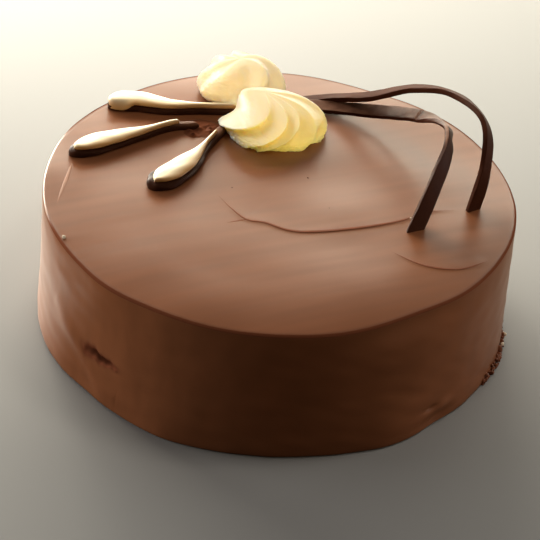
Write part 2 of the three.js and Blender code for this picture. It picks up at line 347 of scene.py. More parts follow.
class Sock:
    """A node's output in arithmetic: every operator adds a Math node to the same tree."""

    def __init__(self, nodes, socket):
        self.nodes = nodes
        self.socket = socket

    def math(self, operation, *others):
        return self.nodes.math(operation, self, *others)

    def __add__(self, other):
        return self.nodes.math("ADD", self, other)

    def __radd__(self, other):
        return self.nodes.math("ADD", other, self)

    def __sub__(self, other):
        return self.nodes.math("SUBTRACT", self, other)

    def __rsub__(self, other):
        return self.nodes.math("SUBTRACT", other, self)

    def __mul__(self, other):
        return self.nodes.math("MULTIPLY", self, other)

    def __rmul__(self, other):
        return self.nodes.math("MULTIPLY", other, self)

    def __truediv__(self, other):
        return self.nodes.math("DIVIDE", self, other)

    def __rtruediv__(self, other):
        return self.nodes.math("DIVIDE", other, self)

    def __pow__(self, other):
        return self.nodes.math("POWER", self, other)

    def __neg__(self):
        return self.nodes.math("MULTIPLY", self, -1.0)

    def clamped(self):
        return self.nodes.math("MINIMUM", self.nodes.math("MAXIMUM", self, 0.0), 1.0)


class Nodes:
    """A node tree that is built by calls: add() makes any node and returns one output."""

    def __init__(self, tree):
        self.tree = tree

    def plug(self, socket, value):
        if isinstance(value, Sock):
            self.tree.links.new(value.socket, socket)
        else:
            socket.default_value = value

    def add(self, kind, settings=None, sockets=None, output=0):
        node = self.tree.nodes.new(kind)
        for name, value in (settings or {}).items():
            setattr(node, name, value)
        for key, value in (sockets or {}).items():
            self.plug(node.inputs[key], value)
        return Sock(self, node.outputs[output])

    def math(self, operation, *values):
        return self.add("ShaderNodeMath", {"operation": operation}, dict(enumerate(values)))

    def vector(self, operation, *values, output=0):
        settings = {"operation": operation}
        return self.add("ShaderNodeVectorMath", settings, dict(enumerate(values)), output)

    def eased(self, value, low, high, first=0.0, last=1.0):
        """A soft step from one value to another."""
        sockets = {"Value": value, "From Min": low, "From Max": high, "To Min": first, "To Max": last}
        return self.add("ShaderNodeMapRange", {"interpolation_type": "SMOOTHSTEP"}, sockets)

    def blend(self, factor, first, second):
        """A colour between two colours."""
        settings = {"data_type": "RGBA", "clamp_factor": True}
        return self.add("ShaderNodeMix", settings, {0: factor, 6: first, 7: second}, 2)


class Shape(Nodes):
    """A Geometry Nodes tree with named inputs, ending in Realize Instances and Set Material."""

    def __init__(self, name, inputs):
        tree = bpy.data.node_groups.new(name, "GeometryNodeTree")
        super().__init__(tree)
        tree.interface.new_socket("Geometry", in_out="OUTPUT", socket_type="NodeSocketGeometry")
        tree.interface.new_socket("Geometry", in_out="INPUT", socket_type="NodeSocketGeometry")
        self.values = {}
        for label, value in inputs.items():
            kind = "NodeSocketInt" if isinstance(value, int) else "NodeSocketFloat"
            if isinstance(value, (tuple, list)):
                kind = "NodeSocketVector"
            if isinstance(value, bpy.types.Material):
                kind = "NodeSocketMaterial"
            item = tree.interface.new_socket(label, in_out="INPUT", socket_type=kind)
            self.values[item.identifier] = value
        self.entry = tree.nodes.new("NodeGroupInput")

    def input(self, label):
        return Sock(self, self.entry.outputs[label])

    def held(self, label):
        """A number that every point of the piece holds."""
        return self.add("GeometryNodeInputNamedAttribute", {"data_type": "FLOAT"}, {"Name": label})

    def scaled(self, way, size):
        return self.add("ShaderNodeVectorMath", {"operation": "SCALE"}, {0: way, "Scale": size})

    def sheet(self, columns, rows):
        """A flat sheet, and each point's share across and along it."""
        sockets = {"Size X": 1.0, "Size Y": 1.0, "Vertices X": columns, "Vertices Y": rows}
        grid = self.add("GeometryNodeMeshGrid", None, sockets)
        place = self.add("GeometryNodeInputPosition")
        x, y = (self.add("ShaderNodeSeparateXYZ", None, {0: place}, axis) for axis in (0, 1))
        return grid, x + 0.5, y + 0.5

    def wrap(self, sheet, place):
        """Moves a sheet's points to their places and closes it where they meet."""
        made = self.add("GeometryNodeSetPosition", None, {"Geometry": sheet, "Position": place})
        self.end(self.add("GeometryNodeMergeByDistance", None, {"Geometry": made, "Distance": 1e-6}))

    def end(self, geometry):
        geometry = self.add("GeometryNodeRealizeInstances", None, {0: geometry})
        geometry = self.add("GeometryNodeSetShadeSmooth", None, {"Geometry": geometry})
        sockets = {"Geometry": geometry, "Material": self.input("Material")}
        geometry = self.add("GeometryNodeSetMaterial", None, sockets)
        self.plug(self.tree.nodes.new("NodeGroupOutput").inputs[0], geometry)

    def settle(self, piece):
        """Runs the tree on a piece and leaves the result as its plain mesh."""
        modifier = piece.modifiers.new(self.tree.name, "NODES")
        modifier.node_group = self.tree
        for identifier, value in self.values.items():
            modifier[identifier] = value
        graph = bpy.context.evaluated_depsgraph_get()
        made = bpy.data.meshes.new_from_object(piece.evaluated_get(graph), depsgraph=graph)
        piece.modifiers.clear()
        piece.data = made
        made.name = piece.name


def new_piece(name, points=(), edges=(), faces=(), material=None):
    mesh = bpy.data.meshes.new(name)
    mesh.from_pydata(points, edges, faces)
    mesh.update()
    piece = bpy.data.objects.new(name, mesh)
    bpy.context.scene.collection.objects.link(piece)
    if material:
        mesh.materials.append(material)
        mesh.polygons.foreach_set("use_smooth", [True] * len(mesh.polygons))
    return piece


def set_values(piece, name, values):
    """Gives every point of a piece a named number."""
    layer = piece.data.attributes.new(name, "FLOAT", "POINT")
    layer.data.foreach_set("value", np.asarray(values, dtype=np.float32))


def path_piece(name, places, tilt):
    """A piece that is only a line through places, with its tilt."""
    piece = new_piece(name, places.tolist(), [(i, i + 1) for i in range(len(places) - 1)])
    set_values(piece, "tilt", tilt)
    return piece


def finish_piece(piece, slot, *nodes):
    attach(piece, BODY)
    if nodes:
        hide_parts(*nodes)


def lofted(rings, first, last):
    """Points and faces of a closed surface through rings, with a point at each end."""
    rows, count = rings.shape[:2]
    points = np.vstack([[first], rings.reshape(-1, 3), [last]])
    near = np.arange(count)
    after = (near + 1) % count
    end = len(points) - 1
    tail = 1 + (rows - 1) * count
    faces = [(0, int(1 + b), int(1 + a)) for a, b in zip(near, after)]
    for row in range(rows - 1):
        low = 1 + row * count
        high = low + count
        faces += np.stack([low + near, low + after, high + after, high + near], 1).tolist()
    faces += [(end, int(tail + a), int(tail + b)) for a, b in zip(near, after)]
    return points, faces


def lofted_piece(name, rings, ends, material, label, values, end_values=(0, 0)):
    """A closed piece through rings with a point at each end, and a named number on every point."""
    points, faces = lofted(rings, *ends)
    piece = new_piece(name, points, (), faces, material)
    set_values(piece, label, np.concatenate([end_values[:1], values.ravel(), end_values[1:]]))
    return piece


def smooth_route(points, samples):
    """Evenly spaced places on a smooth curve through points, and each place's share of the points."""
    points = np.array(points, float)
    before = 2 * points[0] - points[1]
    after = 2 * points[-1] - points[-2]
    held = np.vstack([before, points, after])
    places = []
    shares = []
    for i in range(len(points) - 1):
        p0, p1, p2, p3 = held[i : i + 4]
        pairs = ((p0, p1), (p1, p2), (p2, p3))
        k0, k1, k2 = (max(np.linalg.norm(b[:3] - a[:3]), 1e-9) ** 0.5 for a, b in pairs)
        m1 = ((p1 - p0) / k0 - (p2 - p0) / (k0 + k1) + (p2 - p1) / k1) * k1
        m2 = ((p2 - p1) / k1 - (p3 - p1) / (k1 + k2) + (p3 - p2) / k2) * k1
        t = np.linspace(0, 1, 60, endpoint=i == len(points) - 2)[:, None]
        a = 2 * p1 - 2 * p2 + m1 + m2
        b = -3 * p1 + 3 * p2 - 2 * m1 - m2
        places.append(((a * t + b) * t + m1) * t + p1)
        shares.append(i + t[:, 0])
    places = np.vstack(places)
    shares = np.concatenate(shares)
    run = np.concatenate([[0], np.cumsum(np.linalg.norm(np.diff(places[:, :3], axis=0), axis=1))])
    even = np.linspace(0, run[-1], samples)
    spaced = np.stack([np.interp(even, run, column) for column in places.T], 1)
    return spaced, np.interp(even, run, shares)


def soft_noise(places, scale, seed, waves=14):
    """Smooth seeded unevenness between about -1 and 1 at places in space."""
    draw = np.random.default_rng(seed)
    total = np.zeros(len(places))
    for _ in range(waves):
        way = draw.normal(size=places.shape[1])
        way *= draw.uniform(0.6, 1.6) / np.linalg.norm(way)
        total += np.sin(places @ way * (2 * math.pi / scale) + draw.uniform(0, 2 * math.pi))
    return total / math.sqrt(waves)


def smooth_step(value, low, high):
    t = np.clip((value - low) / (high - low), 0, 1)
    return t * t * (3 - 2 * t)


def round_end(share):
    """Rises from 0 to 1 as a quarter of a circle does."""
    return np.sqrt(np.clip(1 - np.clip(1 - share, 0, 1) ** 2, 0, 1))


def uneven_steps(low, high, count, busy):
    """Steps from low to high, closer together at each busy place: place, spread, how much closer."""
    fine = np.linspace(low, high, 4000)
    density = np.ones_like(fine)
    for place, spread, more in busy:
        density += more * np.exp(-(((fine - place) / spread) ** 2))
    run = np.concatenate([[0], np.cumsum((density[1:] + density[:-1]) / 2)])
    return np.interp(np.linspace(0, run[-1], count), run, fine)


def beside_line(places, line, samples=90):
    """Distance of places to a line, to its left or right, and the share along it."""
    route, _ = smooth_route(line, samples)
    gap = np.full(len(places), 1e9)
    side = np.zeros(len(places))
    share = np.zeros(len(places))
    for i in range(samples - 1):
        start = route[i]
        along = route[i + 1] - start
        t = np.clip((places - start) @ along / (along @ along), 0, 1)
        away = places - start - t[:, None] * along
        distance = np.hypot(away[:, 0], away[:, 1])
        nearer = distance < gap
        gap[nearer] = distance[nearer]
        turn = along[0] * away[:, 1] - along[1] * away[:, 0]
        side[nearer] = np.sign(turn[nearer])
        share[nearer] = (i + t[nearer]) / (samples - 1)
    return gap, side, share


# Settings


def a_number(name, description, default, unit="NONE"):
    return FloatProperty(name=name, description=description, default=default, unit=unit)


def a_length(name, description, default):
    return a_number(name, description, default, "LENGTH")


def a_power(name, description, default):
    return a_number(name, description, default, "POWER")


def an_angle(name, description, degrees):
    return FloatProperty(name=name, description=description, default=math.radians(degrees), subtype="ANGLE")


def a_count(name, description, default):
    return IntProperty(name=name, description=description, default=default)


def a_colour(name, description, *parts):
    """A colour, from its parts of red, green and blue."""
    default = (*parts, 1)
    return FloatVectorProperty(name=name, description=description, default=default, size=4, subtype="COLOR")


class IcingSettings(bpy.types.PropertyGroup):
    """The iced cake."""

    rim_round: a_length("Rim round", "Radius of the top edge", 0.0011)
    foot_round: a_length("Foot round", "Radius of the lower edge", 0.0012)
    columns: a_count("Columns", "Faces round the cake", 640)
    side_rows: a_count("Side rows", "Faces up the side", 58)
    top_rings: a_count("Top rings", "Rings on the top", 76)
    ridge: a_length("Knife ridge", "Height of the knife's ridges", 0.00020)
    swell: a_length("Swell", "How far the top swells in front", 0.0016)
    droop: a_length("Droop", "How far the front edge has sunk", 0.0023)
    colour: a_colour("Icing", "Colour of the icing", 0.212, 0.0755, 0.0315)
    # Deep icing colour: painted shade in the gouge, along the rim and in the smear's dents; the smear's
    # other dark spots use it too.
    deep_shade_colour: a_colour("Deep icing", "Colour in marks and hollows", 0.050, 0.015, 0.007)


class CreamSettings(bpy.types.PropertyGroup):
    """The piped cream."""

    front_radius: a_length("Front radius", "Radius of the front swirl", 0.0247)
    front_height: a_length("Front height", "Height of the front swirl", 0.0145)
    back_radius: a_length("Back radius", "Radius of the back swirl", 0.0205)
    back_height: a_length("Back height", "Height of the back swirl", 0.0175)
    rows: a_count("Rows", "Faces from foot to peak", 120)
    per_channel: a_count("Per channel", "Faces across one channel", 36)
    ragged: a_length("Ragged", "Unevenness of the crests", 0.0008)
    colour: a_colour("Cream", "Colour of the cream", 0.85, 0.71, 0.49)


class StripSettings(bpy.types.PropertyGroup):
    """The bent strips."""

    width: a_length("Width", "Width of the front strip", 0.0068)
    back_width: a_length("Back width", "Width of the back strip", 0.0060)
    thickness: a_length("Thickness", "Thickness of the front strip", 0.0020)
    back_thickness: a_length("Back thickness", "Thickness of the back strip", 0.0024)
    squareness: a_number("Squareness", "How square the section is, less is squarer", 0.22)
    stations: a_count("Stations", "Faces along a strip", 260)
    sides: a_count("Sides", "Faces round a strip", 40)
    crack: a_length("Crack", "Depth of the crack", 0.0005)
    colour: a_colour("Strip", "Colour of the strips", 0.038, 0.011, 0.005)
    # Upward faces of the front strip take this colour: partly a dusting, partly painted sheen where the
    # light falls on them.
    dust_and_sheen: a_colour("Dust and sheen", "Colour of the front strip's dusty upper face", 0.255, 0.126, 0.080)


class PetalSettings(bpy.types.PropertyGroup):
    """The two-tone petals."""

    thickness: a_length("Base", "Thickness of the dark base", 0.0031)
    face: a_length("Face", "Thickness of the ivory face", 0.0018)
    stations: a_count("Stations", "Faces along a petal", 110)
    sides: a_count("Sides", "Faces round a petal", 40)
    dark: a_colour("Dark", "Colour of the dark base", 0.030, 0.010, 0.005)
    ivory: a_colour("Ivory", "Colour of the face", 0.92, 0.78, 0.53)
    # Painted shade: the golden colour covers the front half of each face, which turns away from the light,
    # deepest at the front edge.
    golden_shade: a_colour("Golden", "Colour of the face's front edge", 0.40, 0.20, 0.06)


class CrumbSettings(bpy.types.PropertyGroup):
    """The crumbs at the foot and the specks on the top."""

    size: a_length("Size", "Usual size of a crumb", 0.00052)
    count: a_count("Count", "Crumbs at the foot", 260)
    first: an_angle("First", "Where the crumbs start", -23)
    last: an_angle("Last", "Where the crumbs end", 7)
    seed: a_count("Seed", "Seed of their places", 4)
    dark: a_colour("Dark", "Colour of the sponge crumbs", 0.210, 0.070, 0.034)
    # Pale crumbs keep their own colour at the foot; on the lump on the top near the left rim the pale colour
    # is a painted highlight.
    pale: a_colour("Pale", "Colour of the pale crumbs", 0.80, 0.66, 0.50)
    brown: a_colour("Brown", "Colour of the specks on the top", 0.11, 0.040, 0.020)


class StageSettings(bpy.types.PropertyGroup):
    """Floor and lights; each light's power has the light's name."""

    floor: a_colour("Floor", "Colour of the floor", 0.27, 0.265, 0.26)
    bounce: a_colour("Bounce", "Colour that the floor throws back", 0.105, 0.060, 0.031)
    # The glow is a painted pool of light thrown back close to the foot, mostly at the left and behind.
    glow: a_colour("Glow", "Colour that the floor throws back close to the foot", 0.95, 0.93, 0.90)
    window: a_power("Window", "Power of the light behind at the left", 8.0)
    backdrop: a_power("Backdrop", "Power of the wide light behind the cream", 4.0)
    low_panel: a_power("Low panel", "Power of the wide light that the icing mirrors", 18.5)
    high_window: a_power("High window", "Power of the high light behind", 4.1)
    side_window: a_power("Side window", "Power of the light from the right", 2.3)
    left_window: a_power("Left window", "Power of the low light from the left", 5.0)
    ceiling: a_power("Ceiling", "Power of the light above", 1.3)
    warm_fill: a_power("Warm fill", "Power of the warm light in front", 1.6)
    cream_light: a_power("Cream light", "Power of the light that shows through the front swirl", 5.0)
    back_fill: a_power("Back fill", "Power of the light on the front of the back swirl", 4.5)
    cream_window: a_power("Cream window", "Power of the window light on the cream", 6.0)
    sky: a_number("Sky", "Strength of the light all round", 0.08)


class CakeSettings(bpy.types.PropertyGroup):
    """All settings of the cake."""

    icing: PointerProperty(type=IcingSettings)
    cream: PointerProperty(type=CreamSettings)
    strips: PointerProperty(type=StripSettings)
    petals: PointerProperty(type=PetalSettings)
    crumbs: PointerProperty(type=CrumbSettings)
    stage: PointerProperty(type=StageSettings)


# Finishes


class Finish(Nodes):
    """A material on one main shader, with the values that are the same all over."""

    def __init__(self, name, constants):
        self.material = bpy.data.materials.new(name)
        self.material.use_nodes = True
        super().__init__(self.material.node_tree)
        self.shader = self.tree.nodes["Principled BSDF"]
        for socket, value in constants.items():
            self.shader.inputs[socket].default_value = value
        self.place = self.add("ShaderNodeTexCoord", output=3)

    def vary(self, socket, value):
        self.plug(self.shader.inputs[socket], value)

    def held(self, name):
        """A number that every point of the piece holds."""
        return self.add("ShaderNodeAttribute", {"attribute_name": name}, output=2)

    def noise(self, scale, detail=3.0, rough=0.5, place=None):
        sockets = {"Vector": place or self.place, "Scale": scale, "Detail": detail, "Roughness": rough}
        return self.add("ShaderNodeTexNoise", None, sockets)

    def bump(self, height, strength, distance):
        sockets = {"Strength": strength, "Distance": distance, "Height": height}
        self.vary("Normal", self.add("ShaderNodeBump", None, sockets))


def shade(colour, factor):
    """A darker or paler shade of a colour."""
    return [min(1.0, part * factor) for part in colour[:3]] + [1]


def icing_finish(settings):
    finish = Finish("chocolate_icing", {"IOR": 1.46, "Specular IOR Level": 0.36})
    mark = finish.held("mark")
    turn = (0, 0, math.radians(STREAK_DEGREES))
    sockets = {"Vector": finish.place, "Rotation": turn, "Scale": STREAK_STRETCH}
    turned = finish.add("ShaderNodeMapping", {"vector_type": "TEXTURE"}, sockets)
    streak = finish.noise(180.0, detail=1.0, place=turned)
    cloud = finish.noise(22.0)
    tone = cloud * 0.42 + streak * 0.58
    spread = finish.blend(tone, shade(settings.colour, 0.76), shade(settings.colour, 1.30))
    # Marked places are painted darker: painted shade in the gouge, along the rim and in the smear's dents.
    finish.vary("Base Color", finish.blend(mark, spread, settings.deep_shade_colour))
    finish.vary("Roughness", 0.30 + (cloud - 0.5) * 0.06 + mark * 0.5)
    finish.bump(streak * 0.15 + cloud * 0.6, strength=0.15, distance=0.0006)
    # Marked places also turn matte, so the painted shade there hides the icing's reflection.
    bare = finish.blend(finish.eased(mark, 0.5, 1.0), MARK_SHADE_COLOUR, settings.deep_shade_colour)
    matte = finish.add("ShaderNodeBsdfDiffuse", None, {"Color": bare})
    glossy = Sock(finish, finish.shader.outputs[0])
    sockets = {0: finish.eased(mark, 0.0, 0.5), 1: glossy, 2: matte}
    mixed = finish.add("ShaderNodeMixShader", None, sockets)
    finish.plug(finish.tree.nodes["Material Output"].inputs["Surface"], mixed)
    return finish.material


def cream_finish(settings):
    constants = {
        "IOR": 1.42,
        "Subsurface Weight": 1.0,
        "Subsurface Radius": (1.0, 0.85, 0.55),
        "Subsurface Scale": 0.005,
        "Coat Weight": 0.25,
        "Coat Roughness": 0.30,
    }
    finish = Finish("piped_cream", constants)
    cloud = finish.noise(60.0)
    grain = finish.noise(1400.0)
    finish.vary("Base Color", finish.blend(cloud, settings.colour, shade(settings.colour, 1.05)))
    finish.vary("Roughness", 0.40 + (grain - 0.5) * 0.12)
    finish.bump(grain * 0.3 + cloud, strength=0.25, distance=0.0004)
    return finish.material


def chocolate_finish(name, colour, roughness, gloss, level, dust_and_sheen=None):
    """Dark chocolate, paler on the upper face of a tail beyond the ivory; where a second colour is given,
    its upward faces take it, partly as a dusting and partly as painted sheen.
    """
    finish = Finish(name, {"Specular IOR Level": level, "Coat Roughness": 0.18})
    cloud = finish.noise(160.0, detail=4.0, rough=0.6)
    grain = finish.noise(1600.0)
    # Painted sheen with a dusting: upward faces are paler where the light falls on them.
    body = finish.blend(cloud ** 2.0, colour, shade(colour, 1.8))
    if dust_and_sheen:
        normal = finish.add("ShaderNodeNewGeometry", output=1)
        upward = finish.add("ShaderNodeSeparateXYZ", None, {0: normal}, output=2)
        body = finish.blend(finish.eased(upward, 0.80, 0.95) * cloud, body, dust_and_sheen)
    tail = finish.held("tail") * (0.4 + cloud)
    finish.vary("Base Color", finish.blend(tail.clamped(), body, TAIL_COLOUR))
    finish.vary("Roughness", roughness + (cloud - 0.5) * 0.22 + (grain - 0.5) * 0.1)
    finish.vary("Coat Weight", gloss * cloud)
    finish.bump(cloud + grain * 0.2, strength=0.3, distance=0.0005)
    return finish.material


def ivory_finish(settings):
    constants = {
        "IOR": 1.45,
        "Subsurface Weight": 0.2,
        "Subsurface Radius": (1.0, 0.7, 0.35),
        "Subsurface Scale": 0.0015,
    }
    finish = Finish("ivory_chocolate", constants)
    cloud = finish.noise(120.0)
    grain = finish.noise(1500.0)
    # Painted shade: the face turns golden over its front half, away from the light.
    front = finish.held("front")
    edge = front + (cloud - 0.5) * 0.3 * front
    face = finish.blend(cloud, settings.ivory, shade(settings.ivory, 1.06))
    finish.vary("Base Color", finish.blend(edge.clamped(), face, settings.golden_shade))
    finish.vary("Roughness", 0.34 + (cloud - 0.5) * 0.15)
    finish.bump(cloud + grain * 0.15, strength=0.25, distance=0.0005)
    return finish.material


def crumb_finish(name, colour):
    finish = Finish(name, {"IOR": 1.45, "Specular IOR Level": 0.08})
    grain = finish.noise(900.0, detail=4.0, rough=0.7)
    finish.vary("Base Color", finish.blend(grain, shade(colour, 0.55), colour))
    finish.vary("Roughness", 0.55 + grain * 0.25)
    finish.bump(grain, strength=0.5, distance=0.0004)
    return finish.material


def floor_finish(settings):
    """Looks plain and pale; throws back a warmer, darker colour, darker still as painted shade close to the
    foot, and a pale colour as a painted pool of light close by, mostly at the left and behind.
    """
    finish = Finish("pale_floor", {"Specular IOR Level": 0.25})
    cloud = finish.noise(3.0, detail=2.0)
    pale = finish.blend(cloud, shade(settings.floor, 0.96), settings.floor)
    out = finish.vector("LENGTH", finish.place, output=1)
    x, y = (finish.add("ShaderNodeSeparateXYZ", None, {0: finish.place}, axis) for axis in (0, 1))
    # Painted pool of light: close to the foot, mostly at the left and behind, the floor throws back a pale
    # colour.
    left = finish.eased(x, -0.04, 0.04, 1.0, 0.15) * finish.eased(y, -0.06, -0.01)
    glow = left * finish.eased(out, 0.125, 0.160, 1.0, 0.0)
    # Painted shade: close to the foot the floor throws back a darker colour.
    thrown = finish.blend(finish.eased(out, RADIUS, 0.125), shade(settings.bounce, 0.3), settings.bounce)
    thrown = finish.blend(glow, thrown, settings.glow)
    seen = finish.add("ShaderNodeLightPath")
    finish.vary("Base Color", finish.blend(seen, thrown, pale))
    finish.vary("Roughness", 0.7 + cloud * 0.1)
    return finish.material


# Iced cake


def side_relief(angle, height):
    """How far the side stands out at an angle and a height."""
    relief = sum(depth * np.sin(waves * angle + start) for depth, waves, start in SIDE_WAVES)
    for degrees, level, spread, rise, depth in HAND_MARKS:
        turn = angle - math.radians(degrees)
        away = np.arctan2(np.sin(turn), np.cos(turn)) / math.radians(spread)
        up = (height - level) / rise
        relief += depth * np.exp(-(away**2) - up**2)
    return relief


def gouge_relief(angle, height):
    """The ragged slot in the side with its lips, the fold that runs past it, and how deep the tear goes at
    each place, which also sets its painted shade.
    """
    degrees, level, half, rise, depth = GOUGE
    along = (np.degrees(angle) - degrees) / half
    wander = 0.22 * np.sin(5.1 * along + 0.7) + 0.12 * np.sin(11.3 * along + 2.0)
    up = (height - level) / (rise * (1.15 - 0.40 * np.clip(along, -1, 1))) + wander
    tear_and_shade = np.exp(-np.abs(along) ** 3.4) * np.exp(-np.abs(up) ** 2.4)
    relief = depth * tear_and_shade
    for end, side in GOUGE_LIPS:
        relief += LIP_HEIGHT * np.exp(-(((along - end) / 0.13) ** 2) - ((up - side) / 0.5) ** 2)
    wall = np.stack([angle.ravel() * RADIUS, height.ravel()], 1)
    gap, _, share = beside_line(wall, [(math.radians(a) * RADIUS, z) for a, z in FOLD])
    fold = np.exp(-((gap / FOLD_WIDTH) ** 2)) * np.sin(math.pi * np.clip(share, 0.0, 1.0)) ** 0.6
    return relief + FOLD_HEIGHT * fold.reshape(angle.shape), tear_and_shade


def front_swell(places, settings):
    """How far the top swells and then falls towards its front edge."""
    out = np.hypot(places[:, 0], places[:, 1])
    ahead = smooth_step(-places[:, 1] / np.maximum(out, 1e-6), -0.1, 0.75)
    fall = np.clip((out - SWELL_REACH) / (RADIUS - SWELL_REACH), 0, 1.1) ** 2
    return settings.swell * smooth_step(-places[:, 1], -0.070, SWELL_REACH) - settings.droop * ahead * fall


def top_relief(places, settings):
    """Height of the knife's marks on the top."""
    streak = math.radians(STREAK_DEGREES)
    across = places @ np.array([-math.sin(streak), math.cos(streak)])
    along = places @ np.array([math.cos(streak), math.sin(streak)])
    masked = smooth_step(-places[:, 1], -0.030, 0.050)
    stretched = np.stack([across, along * 0.09], 1)
    height = masked * STREAK_HEIGHT * soft_noise(stretched, STREAK_WIDTH, seed=6)
    height += WAVE_HEIGHT * soft_noise(places, WAVE_LENGTH, seed=5)
    height += front_swell(places, settings)
    for line, strength, steep, wide in KNIFE_RIDGES:
        gap, side, share = beside_line(places, line)
        fade = smooth_step(share, 0.0, 0.25) * smooth_step(1 - share, 0.0, 0.12)
        inner = np.where(side > 0, np.exp(-gap / wide), np.exp(-((gap / steep) ** 2)))
        height += settings.ridge * strength * fade * inner
    return height


def cake_profile(settings):
    """Radius, height and share of top of each ring, from the foot to near the top's centre."""
    foot, rim = settings.foot_round, settings.rim_round
    rows = [(RADIUS - foot, 0.0, 0.0)]
    rows += [(RADIUS - foot * (1 - math.sin(t)), foot * (1 - math.cos(t)), 0.0) for t in (0.6, 1.1)]
    levels = uneven_steps(foot, TOP - rim, settings.side_rows + 1, FINE_LEVELS)
    rows += [(RADIUS, z, (z / (TOP - rim)) ** 4) for z in levels]
    rim_steps = 8
    for step in range(1, rim_steps + 1):
        turn = math.pi / 2 * step / rim_steps
        rows.append((RADIUS - rim * (1 - math.cos(turn)), TOP - rim * (1 - math.sin(turn)), 1.0))
    for ring in range(1, settings.top_rings):
        share = ring / settings.top_rings
        rows.append(((RADIUS - rim) * (1 - share), TOP, 1.0))
    return np.array(rows)


def rim_painted_shade(turn, radius, height, rim):
    """How dark the painted shade line along the rim is at each place."""
    rounding = smooth_step(radius, RADIUS - 1.3 * rim, RADIUS - 0.6 * rim)
    rounding = rounding * smooth_step(height, TOP - 1.1 * rim, TOP - 0.5 * rim)
    left = smooth_step(-np.cos(turn), 0.90, 0.99)
    back = smooth_step(np.sin(turn), 0.25, 0.60)
    return rounding * (1 - left) * (RIM_SHADE + (1 - RIM_SHADE) * back)


class CAKE_OT_iced_cake(bpy.types.Operator):
    """Make the iced cake with its knife marks"""

    bl_idname = "cake.iced_cake"
    bl_label = "Iced cake"

    def execute(self, context):
        settings = context.scene.cake.icing
        rows = cake_profile(settings)
        busy = [(math.radians(degrees), *values) for degrees, *values in FINE_TURNS]
        angle = uneven_steps(-math.pi, math.pi, settings.columns + 1, busy)[:-1]
        radius, height, topness = (np.repeat(c[:, None], settings.columns, 1) for c in rows.T)
        turn = np.repeat(angle[None, :], len(rows), 0)
        edge = smooth_step(radius, 0.88 * RADIUS, 0.96 * RADIUS)
        gouge, tear_and_shade = gouge_relief(turn, height)
        side = (side_relief(turn, height) + gouge * (1 - topness)) * edge
        wall = np.stack([np.cos(turn) * RADIUS, np.sin(turn) * RADIUS, height], 2).reshape(-1, 3)
        grain = soft_noise(wall * (1, 1, 2.2), 0.020, seed=21).reshape(turn.shape)
        side += SIDE_GRAIN * grain * edge * (1 - 0.5 * topness)
        x = (radius + side) * np.cos(turn)
        y = (radius + side) * np.sin(turn)
        rise = top_relief(np.stack([x.ravel(), y.ravel()], 1), settings).reshape(turn.shape) * topness
        # Painted shade: the gouge is painted darker and duller the deeper it goes.
        mark = tear_and_shade**0.5 * (1 - topness)
        mark += rim_painted_shade(turn, radius, height, settings.rim_round)
        rings = np.stack([x, y, height + rise], 2)
        ends = (0, 0, 0), (0, 0, rings[-1, :, 2].mean())
        piece = lofted_piece("iced_cake", rings, ends, icing_finish(settings), "mark", mark)
        finish_piece(piece, "icing", "cake")
        self.knife_marks(settings)
        return {"FINISHED"}

    def knife_marks(self, settings):
        """Raises the thin lines where the palette knife lifted; most are painted dark as shade on their
        steps.
        """
        # The dark lines carry painted shade; the pale edge line has the icing's own colour.
        dark = chocolate_finish("knife_marks", MARK_SHADE_COLOUR, roughness=0.75, gloss=0.0, level=0.06)
        pale = chocolate_finish("knife_edge", settings.colour, roughness=0.50, gloss=0.0, level=0.20)
        for name, (line, width, height) in KNIFE_MARKS.items():
            places, _ = smooth_route(line, 120)
            rise = top_relief(places, settings)
            route = np.column_stack([places, TOP + rise])
            piece = path_piece(name, route, np.zeros(len(route)))
            sizes = {"Width": width, "Thickness": 2 * height, "Squareness": 1.0, "Taper": 1.0}
            sizes |= {"Stations": 150, "Sides": 12}
            ribbon_tree(name, sizes, pale if name == "knife_edge" else dark).settle(piece)
            finish_piece(piece, "icing")


# Piped cream


